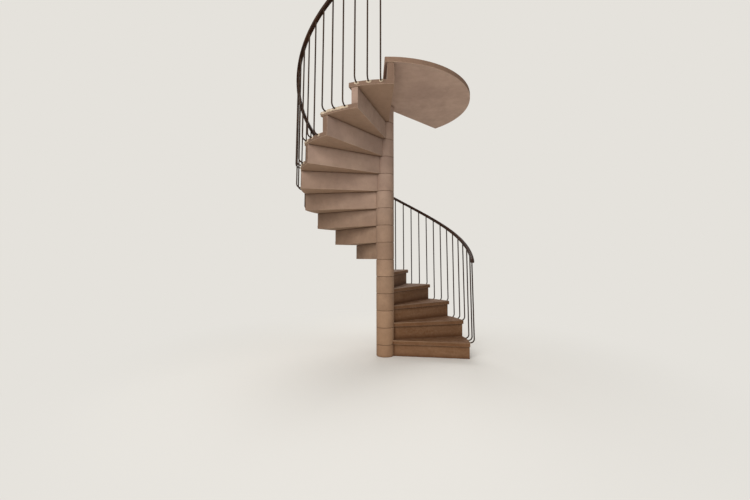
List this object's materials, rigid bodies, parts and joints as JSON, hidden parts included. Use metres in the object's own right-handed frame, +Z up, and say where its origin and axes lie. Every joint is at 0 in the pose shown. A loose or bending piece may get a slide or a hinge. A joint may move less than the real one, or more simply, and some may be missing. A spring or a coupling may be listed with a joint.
{
  "type": "spiral staircase",
  "caption": "Cast stone spiral staircase: wedge treads with risers round a drum newel, curved iron balusters fixed to the tread ends and a helical handrail.",
  "frame": {"origin": "on the floor, on the centre line of the newel", "axes": "+Z up; the flight climbs counter-clockwise seen from above, and its first tread points along +X"},
  "size_m": [1.9746, 1.9712, 3.7567],
  "materials": {
    "stone": "fine cast limestone, matt, paler on arrises and worn a little browner on the treads",
    "mortar": "raked lime mortar, matt",
    "iron": "dark bronze paint on forged bar, satin",
    "rail": "dark bronze, polished a little by hands"
  },
  "bodies": {
    "root": {"plinth": "stone", "step_1": "stone", "step_2": "stone", "step_3": "stone", "step_4": "stone", "step_5": "stone", "step_6": "stone", "step_7": "stone", "step_8": "stone", "step_9": "stone", "step_10": "stone", "step_11": "stone", "step_12": "stone", "step_13": "stone", "step_14": "stone", "landing": "stone", "mortar_beds": "mortar", "balusters_1": "iron", "balusters_2": "iron", "balusters_3": "iron", "balusters_4": "iron", "balusters_5": "iron", "balusters_6": "iron", "balusters_7": "iron", "balusters_8": "iron", "balusters_9": "iron", "balusters_10": "iron", "balusters_11": "iron", "balusters_12": "iron", "balusters_13": "iron", "balusters_14": "iron", "handrail_1": "rail", "handrail_2": "rail", "handrail_3": "rail", "handrail_4": "rail", "handrail_5": "rail", "handrail_6": "rail"}
  },
  "joints": []
}
